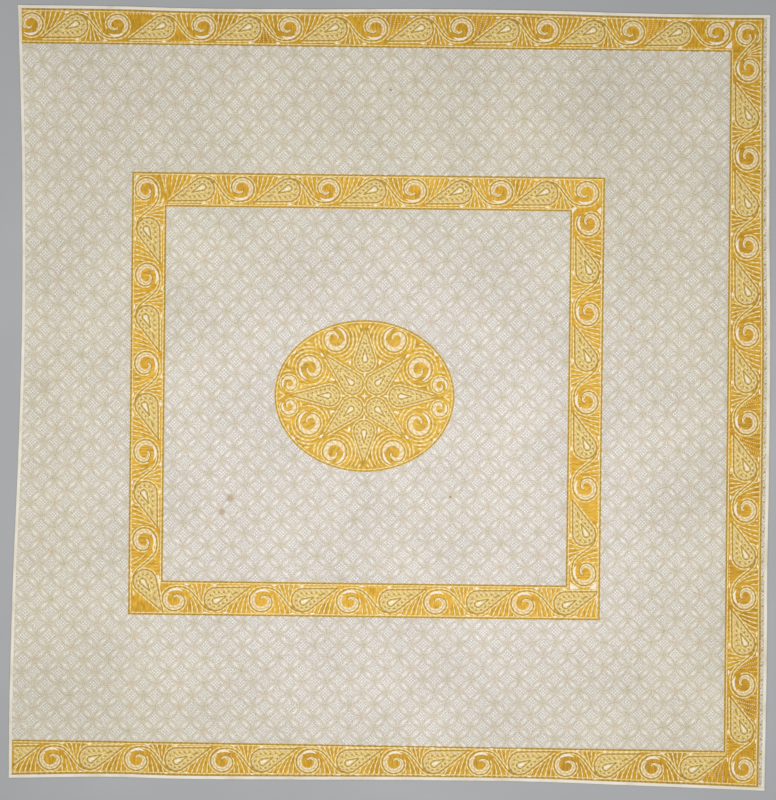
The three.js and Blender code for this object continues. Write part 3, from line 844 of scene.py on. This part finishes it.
def palmette(low, high, level, apex, bow):
    """Ribs of one gap: curves that fan out from an apex to the band's edge, kept where it is clear."""
    mouth = np.arange(low, high, RIB_STEP)[:, None, None]
    # Every other rib is short, so that they do not crowd at the apex
    start = np.where(np.arange(len(mouth)) % 2, 0.1, 0.42)[:, None]
    share = (start + (1 - start) * np.linspace(0, 1, 50))[..., None]
    ends = np.concatenate([mouth, np.full_like(mouth, level)], 2)
    paths = bowed(np.array(apex), ends, bow, share)
    return clear_runs(paths, clear(paths), 8, 7.0)


# Each gap: its stretch of the edge, the edge's level, the apex, and how much the ribs are bowed
RIB_STEP = 15.0
GAPS = [(-119, -20, 40, (-98, -34), 0.8), (36, 118, 40, (82, -22), 0.8), (12, 88, -43, (43, 12), 0.45)]
gap_ribs = [palmette(*gap) for gap in GAPS]
# Fans in two corners: apex, both ends of the mouth, the number of ribs and their bow
FANS = [((1000, 1002), (1063, 1002), (1063, 1050), 4, 0.5), ((-661, 562), (-664, 634), (-687, 634), 2, 0.1)]
outwards = np.linspace(0.3, 1, 8)[:, None]
corner_ribs = np.concatenate([
    bowed(np.array(apex), line(start, end, count)[:, None], bow, outwards)
    for apex, start, end, count, bow in FANS
])
print("ribs in a repeat's three gaps:", [len(ribs) for ribs in gap_ribs], "and in corners:", len(corner_ribs))

# %% Ribs of the medallion
STAR_HEAD = 30.0
star_drops = [drop(STAR_HEAD, (length, 0)) for length in ray_tip - ray_head]


def inside_drop(points, length, reach):
    """True where a point is inside a drop that lies along x from its head: its round end or its cone."""
    slope = np.arcsin(STAR_HEAD / length)
    back = length - points[..., 0]
    cone = (np.abs(points[..., 1]) < back * np.tan(slope) + reach) & (points[..., 0] > 0) & (back > -reach)
    return cone | (np.linalg.norm(points, axis=-1) < STAR_HEAD + reach)


def clear_of_star(points, own):
    """Free ground for ribs round one spiral of the medallion: off all motifs, and nearest to its own."""
    local = points - MEDALLION
    free = np.linalg.norm(local / (MEDALLION_HALF - 12), axis=-1) < 1
    for way, head, tip in zip(ray_way, ray_head, ray_tip):
        turned = np.stack([local @ way - head, local @ np.array([-way[1], way[0]])], -1)
        free &= ~inside_drop(turned, tip - head, 9)
    gaps = np.stack([off(points, at) - DRAWN * size for at, size in zip(star_curl_at, star_curl_size)])
    return free & (gaps.min(0) > 8.0) & (gaps.argmin(0) == own)


star_ribs = []
for k, (middle, size) in enumerate(zip(star_curl_at, star_curl_size)):
    for radius in DRAWN * size + np.arange(13.0, 95, 10.6):
        circle = middle + arc(radius, 0, 360, 241)[:-1]
        circle = np.roll(circle, -np.argmin(clear_of_star(circle, k)), axis=0)[None]
        star_ribs.append(clear_runs(circle, clear_of_star(circle, k), 12, 12.0))
star_ribs = np.concatenate(star_ribs)
print("ribs in the medallion:", len(star_ribs))

# %% [markdown]
# Silk and cotton threads
#
# The outlines are in olive silk, on the medallion in gold. Double lines and ribs are pale, the drops straw
# and honey, the spirals cream, the dots green, and the brightest spots are white cotton.
# All are twisted, so each finish has slanting plies along the cord's own UV map, with painted shade in their
# grooves and a painted highlight on their crowns.

# %% Thread finishes
def thread(name, dark, light, sheen):
    """Twisted floss: slanting plies that run from painted shade in a groove to a painted highlight on a
    crown.
    """
    made, node, place = new_finish(name, 0.6, sheen)
    along = node("UVMap", uv_map="pattern")
    # Plies of 8 mm, coarser than real floss, so that they show
    sized = node("Mapping", {"Vector": along, "Scale": (40, 40, 1)})
    plies = node("TexWave", {"Vector": sized, "Scale": 1.0, "Distortion": 1.5, "Detail": 1.0},
                 bands_direction="DIAGONAL", out="Fac")
    mottle = node("TexNoise", {"Vector": place, "Scale": 220.0, "Detail": 2.0})
    both = node("Math", {0: plies, 1: 0.4, 2: mottle}, operation="MULTIPLY_ADD")
    # The ramp runs from painted shade in the plies' grooves to a painted highlight on their crowns
    colour = node("ValToRGB", {0: both}, stops=[(0.35, dark), (1.0, light)])
    return dress(made, colour, plies, 0.3, 0.0005)


# Each thread: one colour in painted shade, the same in painted highlight, and its sheen
olive_silk = thread("twisted_olive_silk", "#927828", "#C0A452", 0.1)
gold_silk = thread("twisted_gold_silk", "#A38528", "#D0B056", 0.1)
pale_silk = thread("twisted_pale_yellow_silk", "#DCBA62", "#FFEDB6", 0.15)
green_silk = thread("knotted_green_silk", "#A08832", "#BCA24A", 0.1)
straw_silk = thread("laid_straw_silk", "#C8A54A", "#EED692", 0.15)
honey_silk = thread("laid_honey_silk", "#CAA452", "#F0D798", 0.15)
cream_silk = thread("laid_cream_silk", "#D8BC7E", "#FCEAC6", 0.15)
white_cotton = thread("twisted_white_cotton", "#EADCC4", "#FFF4E2", 0.1)

# %% Outlines in olive and gold silk
def on_rays(shapes, at):
    """One shape for each drop of the star, turned along its ray."""
    return np.concatenate([placed(shape, at[k : k + 1], ray[k]) for k, shape in enumerate(shapes)])


star_outline = on_rays(star_drops, star_at)
star_core_at = star_at + ray_way * 4


def star_shape(head, tip):
    """A smaller drop in each of the star's drops, about the middle of its core."""
    return on_rays([drop(head, (tip, 0))] * 8, star_core_at)


def around_star(scale):
    """The star's outlines, larger or smaller about their heads."""
    return star_at[:, None] + (star_outline - star_at[:, None]) * scale


def medallion_line(inset):
    """The medallion's rim, moved inwards."""
    return (MEDALLION + arc(1, 0, 360, 181) * (MEDALLION_HALF - inset))[None]


def border_line(bottom, side, top, heights, inset):
    """One edge of the border, moved inwards: along the bottom, up the right side, back along the top.
    Heights are those of its two corners."""
    foot, corner = (side(y) - inset for y in heights)
    x = np.linspace(start_bottom, foot, 160)
    y = np.linspace(bottom(foot) + inset, top(corner) - inset, 160)
    back = np.linspace(corner, start_top, 160)
    return np.concatenate([
        np.stack([x, bottom(x) + inset], 1)[:-1],
        np.stack([side(y) - inset, y], 1)[:-1],
        np.stack([back, top(back) - inset], 1),
    ])


def border_lines(inset):
    """The border's outer and inner edge, each moved into the band."""
    middles = (BOTTOM_MIDDLE, TOP_MIDDLE)
    outer = border_line(border_bottom_out, border_right_out, border_top_out, middles, inset)
    inner = border_line(border_bottom_in, border_right_in, border_top_in, (-1012, 1012), -inset)
    return np.stack([outer, inner])


def frame_lines(inset):
    """The frame's outer and inner edge, each moved into the band and closed."""
    closed = []
    for wide, shift in ((0, inset), (BAND, BAND - inset)):
        low, high, right = FRAME_BOTTOM + shift, FRAME_TOP - shift, FRAME_RIGHT - shift
        foot, head = frame_left_out(FRAME_BOTTOM + wide) + shift, frame_left_out(FRAME_TOP - wide) + shift
        corners = [(foot, low), (right, low), (right, high), (head, high), (foot, low)]
        sides = [line(start, end, 90) for start, end in zip(corners, corners[1:])]
        closed.append(np.concatenate(sides + [corners[:1]]))
    return np.stack(closed)


LINE = 2.95  # width of an outline
olive = [cords(path, LINE, 0.62) for path in (scrolls, stems[~joined], lone[: len(loose)], corner_link)]
olive += [cords(placed(DROP, *everywhere), LINE, 0.58)]
olive += [cords(placed(drop(9.6, (-31.5, -15.2)) + CORE_AT, *whole), 3.3, 0.95)]
olive += [cords(star_shape(8.4, 32), 3.0, 0.9)]
olive += [cords(border_lines(2.6), 3.4, 0.6), cords(frame_lines(2.6), 3.4, 0.6)]
gold = [cords(star_outline, LINE, 0.6), cords(lone[len(loose) :], LINE, 0.62)]
gold += [cords(around_star(1.24)[:, 4:-4], 2.0, 0.4), cords(placed(CREAM_BAND[2:-8], *spiral_set), 1.8, 0.8)]
gold += [cords(medallion_line(3.5), 3.2, 0.6)]
sew_on("gold_outlines", gold_silk, *gold)

# %% What fills the gaps
# The three gaps of each repeat, run by run: r ribs, b rows of beads, p plain silk and knots, n nothing
CHART = (
    "rrr prp rrb rpr brr brr rrr bpp  rrr rrr rrr rbr brr rrp rbr bpp  brr rrr rrr rrr rrr rrr rrr rrr rrr "
    "rrr rrr rrr rrr rrr  rrr rrr rrp prr  rrr rrr rrp rrr rrr  nrp rrr rrr rrr rrr"
)
filling = np.array([list(repeat) for repeat in CHART.split()])


def in_gap(shape, gap, kind):
    """A shape at each repeat whose gap is filled in one way; the drop that is cut has only its first gap."""
    chosen = (filling[:, gap] == kind) & (joined | (gap == 0))
    return placed(shape, drop_at[chosen], drop_turn[chosen])


RIB = 5.0  # width of a rib at the edge of the band
wedge = np.linspace(0.55, 1, 8)
ribs = [corner_ribs]
for gap in range(3):
    ribs += [in_gap(rib, gap, "r") for rib in gap_ribs[gap]]
ribs = np.concatenate(ribs)
# A thin olive line along one side of each rib is a painted shadow between neighbouring ribs
rib_shadow_lines = ribs + sideways(ribs) * (wedge * RIB / 2 + 0.3)[:, None]
olive += [cords(rib_shadow_lines, 1.2, 0.4)]
sew_on("olive_outlines_and_rib_shadows", olive_silk, *olive)
print(len(ribs), "ribs in the bands")

# %% Double lines and ribs in pale silk
swell = np.sin(np.linspace(0.12, np.pi - 0.12, 12)) ** 0.8
BESIDE = 3.8  # from an outline to the pale line beside it
DOUBLE = 4.2  # width of that line
THIN = 3.2  # width of the other pale lines
beside = sideways(scrolls) * BESIDE
around = drop(HEAD + BESIDE, TIP * (HEAD + BESIDE) / HEAD)
pale = [cords((scrolls + beside)[:, :31], DOUBLE, 0.5), cords((scrolls - beside)[:, 8:76], DOUBLE, 0.5)]
pale += [cords((lone - sideways(lone) * BESIDE * lone_hand)[:, 2:54], DOUBLE, 0.5)]
pale += [cords(corner_link + sideways(corner_link) * side, DOUBLE, 0.5) for side in (BESIDE, -BESIDE)]
pale += [cords(placed(part, *everywhere), DOUBLE, 0.46) for part in (around[1:23], around[30:43])]
pale += [cords(placed(drop(13.6, (-42, -20)) + CORE_AT, *whole), THIN, 0.7)]
pale += [cords(around_star(1.13)[:, 2:-2], 4.0, 0.5), cords(star_shape(13.0, 47), THIN, 0.7)]
pale += [cords(border_lines(6.8), THIN, 0.4), cords(frame_lines(6.8), THIN, 0.4)]
pale += [cords(medallion_line(7.5), THIN, 0.5), cords(ribs, RIB, 0.45, wedge)]
for gap, (low, high, level, *_) in enumerate(GAPS):
    along = np.arange(low + 16, high - 14, 9.0)
    row = np.stack([along, np.full(len(along), level - 2 * np.sign(level))], 1)
    seeds = in_gap(row, gap, "p").reshape(-1, 2)
    pale += [knots(seeds, 2.4, 0.5, worked_level(seeds))]
pale += [cords(star_ribs, 6.2, 0.5, swell)]
sew_on("pale_cords", pale_silk, *pale)

# %% Fillings of the drops and spirals
drop_middle = placed(np.zeros((1, 2)), *everywhere)[:, 0]
straw = [fillings(placed(DROP[:-1] * 0.95, *everywhere), drop_middle, 0.3)]
straw += [fillings(around_star(0.95)[:, :-1], star_at, 0.3)]
sew_on("straw_fillings", straw_silk, *straw)
RIM = 0.845  # the honey-coloured rim lies just inside the outline
rims = [cords(placed(DROP * RIM, *whole)[:, 2:-2], 6.4, 0.5), cords(around_star(RIM)[:, 2:-2], 5.6, 0.5)]
sew_on("drop_rims", honey_silk, *rims)
cream = [cords(placed(CREAM_BAND, *row), 12.5, 0.4, CREAM_FULL) for row in (spiral_set, star_set)]
sew_on("spiral_fillings", cream_silk, *cream)

# %% White spots
core_middle = placed(CORE_AT[None], *whole)[:, 0]
white = [fillings(placed(drop(5.2, (-21, -10))[:-1] + CORE_AT, *whole), core_middle, 0.9)]
white += [fillings(star_shape(4.9, 21)[:, :-1], star_core_at, 0.9)]
crescent_turn = spiral_turn.copy()
crescent_turn[-len(CORNERS)] += 2.6  # in the upper right corner it lies on the other side
white += [cords(placed(CRESCENT, spiral_at, crescent_turn, spiral_size), 7.6, 0.6, swell)]
white += [cords(placed(CRESCENT, *star_set), 7.0, 0.6, swell)]
for x, y in ((-28, 38.5), (30, 39.5), (4, -41), (84, -41.5)):
    fleck = np.linspace((x - 8, y), (x + 8, y), 12)
    white += [cords(placed(fleck, *whole), 5.0, 0.6, swell)]
# Three-cornered gussets beside the corner spirals: three points each, anticlockwise
GUSSETS = np.array([
    [(962, 1101), (976, 1082), (982, 1101)], [(952, 1023), (974, 1022), (975, 1047)],
    [(514, 554), (517, 537), (531, 556)], [(588, 548), (601, 535), (601, 559)],
    [(523, -530), (524, -552), (552, -549)], [(601, -525), (578, -549), (601, -551)],
    [(598, -566), (602, -610), (602, -566)], [(-750, 634), (-751, 616), (-738, 634)],
    [(-694, 544), (-673, 549), (-667, 557)], [(-674, -535), (-666, -566), (-662, -537)],
], float)
white += [fillings(GUSSETS, GUSSETS.mean(1), 0.5)]
# Small white leaves between the star's drops, and a four-pointed star in the middle
for x, y, degrees in ((43, 97, 90), (92, 46, 0), (124, 118, 45), (205, 124, 135)):
    leaf = heading(np.radians(degrees)) * np.linspace(-8, 8, 12)[:, None] + [x, y]
    white += [cords(MEDALLION + leaf[None] * quadrant[:, None], 7.0, 0.6, swell)]
for way in np.eye(2):
    leaf = way * np.linspace(-9, 9, 12)[:, None]
    white += [cords(MEDALLION + np.stack([leaf, leaf + 64 * way, leaf - 64 * way]), 6.0, 0.6, swell)]
sew_on("white_spots", white_cotton, *white)

# %% Knots
def star_row(head, share, count):
    """Evenly spaced places on a smaller drop in each of the star's drops."""
    shapes = [even(drop(head, (share * length, 0)), count)[1:-1] for length in ray_tip - ray_head]
    return on_rays(shapes, star_at).reshape(-1, 2)


def at_drops(shape):
    """A shape's points at every drop; the one that is cut loses those outside the border."""
    places = placed(shape, *everywhere).reshape(-1, 2)
    inside = (places > BORDER_LIMITS[0] + 2) & (places < BORDER_LIMITS[1] - 2)
    return places[inside.all(1)]


def on_strip(start, spacing, sway):
    """Places up the plain strip at the right edge, left and right of its middle by turns."""
    y = np.arange(start, 1105, spacing)
    return np.stack([right_edge(y) - 13 + sway * (-1.0) ** np.arange(len(y)), y], 1)


PROUD = 0.35  # fillings lift the knots that stand on them
WOBBLE = 0.8  # how far the dots stray
DOT_ROW = drop(21.0, (-66, -26)) + [0, 2]
by_hand = np.random.default_rng(7)
green_dots, star_dots = at_drops(even(DOT_ROW, 16)[2:-2]), star_row(20.5, 0.66, 18)
green_dots = green_dots + by_hand.normal(0, WOBBLE, green_dots.shape)
star_dots = star_dots + by_hand.normal(0, WOBBLE, star_dots.shape)
tail_leaf = np.linspace((-45, -13.5), (-66, -22.5), 12)
sew_on(
    "green_knots", green_silk,
    knots(green_dots, 3.3, 0.5, worked_level(green_dots) + PROUD),
    knots(star_dots, 3.0, 0.5, worked_level(star_dots) + PROUD),
    cords(placed(tail_leaf, *whole), 6.0, 0.8, swell),
    knots(on_strip(-1108, 43.0, 0), 3.0, 0.9, VALLEY),
    knots(on_strip(-1100, 10.75, 2), 1.5, 0.9, VALLEY),
)

# %% Beads
beads = [placed(arc(18.8, -40, 172, 15), *row).reshape(-1, 2) for row in (spiral_set, star_set)]
beads += [at_drops(even(DROP * RIM, 44)[1:-1]), star_row(STAR_HEAD * RIM, RIM, 38)]
beads += [at_drops(even(DOT_ROW, 31)[5:-4:2])]
for gap in range(3):
    for rib in gap_ribs[gap]:
        places = even(rib, int(passed(rib)[-1] / 6.5) + 2)
        beads += [in_gap(places, gap, "b").reshape(-1, 2)]
beads = np.concatenate(beads)
sew_on("white_beads", white_cotton, knots(beads, 1.5, 0.4, worked_level(beads) + PROUD))

# %% [markdown]
# The edge tape
#
# The edges are bound with white cotton tape, folded round the cloth and sewn through.
# It is one rounded U-shaped profile, carried along each wandering edge.

# %% Binding
LAP = 8.0  # how much of the cloth the tape covers
# Once round the folded tape: how far inwards from the edge, and how high
PROFILE = np.array([
    [LAP, 2.75], [LAP, 3.35], [4, 3.55], [0, 3.4], [-0.9, 2.7], [-1.1, 1.7], [-0.9, 0.7], [0, 0.1], [4, 0],
    [LAP, 0.05], [LAP, 0.85], [1, 0.9], [-0.25, 1.3], [-0.25, 2.1], [1, 2.65],
])


def binding(path, inward):
    """A folded tape: its profile goes round the cloth's edge and back, and is carried along it."""
    sides = np.broadcast_to(inward, path.shape)[None]
    return carried(path[None], sides, *PROFILE.T, np.linspace(0, 30, len(PROFILE)), turned=True)


def cotton_tape():
    """Narrow plain-woven tape: off-white, thicker where it is sewn, a little soiled here and there."""
    made, node, place = new_finish("plain_woven_cotton_tape", 0.85, 0.1)
    along = node("UVMap", uv_map="pattern")
    # Stitches 9 mm apart, in place of 3 mm, so that they show
    sized = node("Mapping", {"Vector": along, "Scale": (110, 60, 1)})
    sewn = node("TexWave", {"Vector": sized, "Scale": 1.0, "Distortion": 0.6}, out="Fac")
    soil = node("TexNoise", {"Vector": place, "Scale": 14.0, "Detail": 4.0})
    both = node("Math", {0: sewn, 1: 0.25, 2: soil}, operation="MULTIPLY_ADD")
    colour = node("ValToRGB", {0: both}, stops=[(0.35, "#DDD1B8"), (0.7, "#F4EEE0")])
    return dress(made, colour, sewn, 0.4, 0.0008)


def spread(low, high, past=0.0):
    """Places from one end of an edge to the other, and a little past both."""
    return (low + high) / 2 + np.linspace(-1, 1, 221) * ((high - low) / 2 + past)


tape = cotton_tape()
top_x, bottom_x = (spread(left_edge(y), right_edge(y), 1.0) for y in (1123, -1122))
left_y, right_y = (spread(bottom_edge(x) + TAPE_LAP, top_edge(x) - TAPE_LAP) for x in (-1096, 1088))
for side, path, inward in (
    ("top", np.stack([top_x, top_edge(top_x)], 1)[::-1], (0, -1)),
    ("bottom", np.stack([bottom_x, bottom_edge(bottom_x)], 1), (0, 1)),
    ("left", np.stack([left_edge(left_y), left_y], 1)[::-1], (1, 0)),
    ("right", np.stack([right_edge(right_y), right_y], 1), (-1, 0)),
):
    add_piece("edge_tape_" + side, *binding(path, inward), tape, "edge_tape", "binding_" + side)

# %% [markdown]
# Floor, light and camera
#
# The cover lies flat, seen from straight above, so the floor is a plain pale sheet under it.
# A large soft light above falls off towards the corners, a weak one from the left shows the relief,
# and the world fills the shadows.
# The camera is far away with a long lens, turned by 0.7 degrees as in the photograph.

# %% Floor
def pale_floor():
    """Painted board: pale grey, matt, with faint unevenness."""
    made, node, place = new_finish("matt_pale_paint", 0.9)
    cloud = node("TexNoise", {"Vector": place, "Scale": 1.5, "Detail": 3.0})
    colour = node("ValToRGB", {0: cloud}, stops=[(0.3, "#A9AAAB"), (0.7, "#B1B2B3")])
    return dress(made, colour)


floor_mesh = bpy.data.meshes.new("floor")
FLOOR, REACH = -0.0006, 9  # just below the cloth, and 9 m each way
corners = [(x * REACH, y * REACH, FLOOR) for x, y in ((-1, -1), (1, -1), (1, 1), (-1, 1))]
floor_mesh.from_pydata(corners, [], [(0, 1, 2, 3)])
floor_mesh.materials.append(pale_floor())
floor = put("floor", floor_mesh)

# %% Light
world = bpy.data.worlds.new("studio")
world.use_nodes = True
background = world.node_tree.nodes["Background"].inputs
background["Color"].default_value = linear("#F4F5F7")
background["Strength"].default_value = 0.30
bpy.context.scene.world = world
for name, place, turn, size, power in (
    ("soft light above", (0.15, -0.35, 3.3), (0.0, 0.0, 0.0), 1.8, 87.0),
    ("left light", (-3.2, 0.9, 2.4), (0.0, -0.9, -0.27), 1.6, 16.0),
):
    lamp = bpy.data.lights.new(name, "AREA")
    lamp.shape, lamp.size, lamp.energy = "SQUARE", size, power
    light = put(name, lamp)
    light.location, light.rotation_euler = place, turn
bpy.context.scene.view_settings.view_transform = "Standard"

# %% Camera
HEIGHT = 8.0
SHOWN = 2.320  # metres from the picture's foot to its head
SENSOR = 36.0
lens = bpy.data.cameras.new("camera")
lens.sensor_width = SENSOR
lens.lens = SENSOR * HEIGHT / SHOWN
camera = put("camera", lens)
camera.location = (-0.0101, -0.0078, HEIGHT)
camera.rotation_euler = (0.0, 0.0, np.radians(0.71))
bpy.context.scene.camera = camera
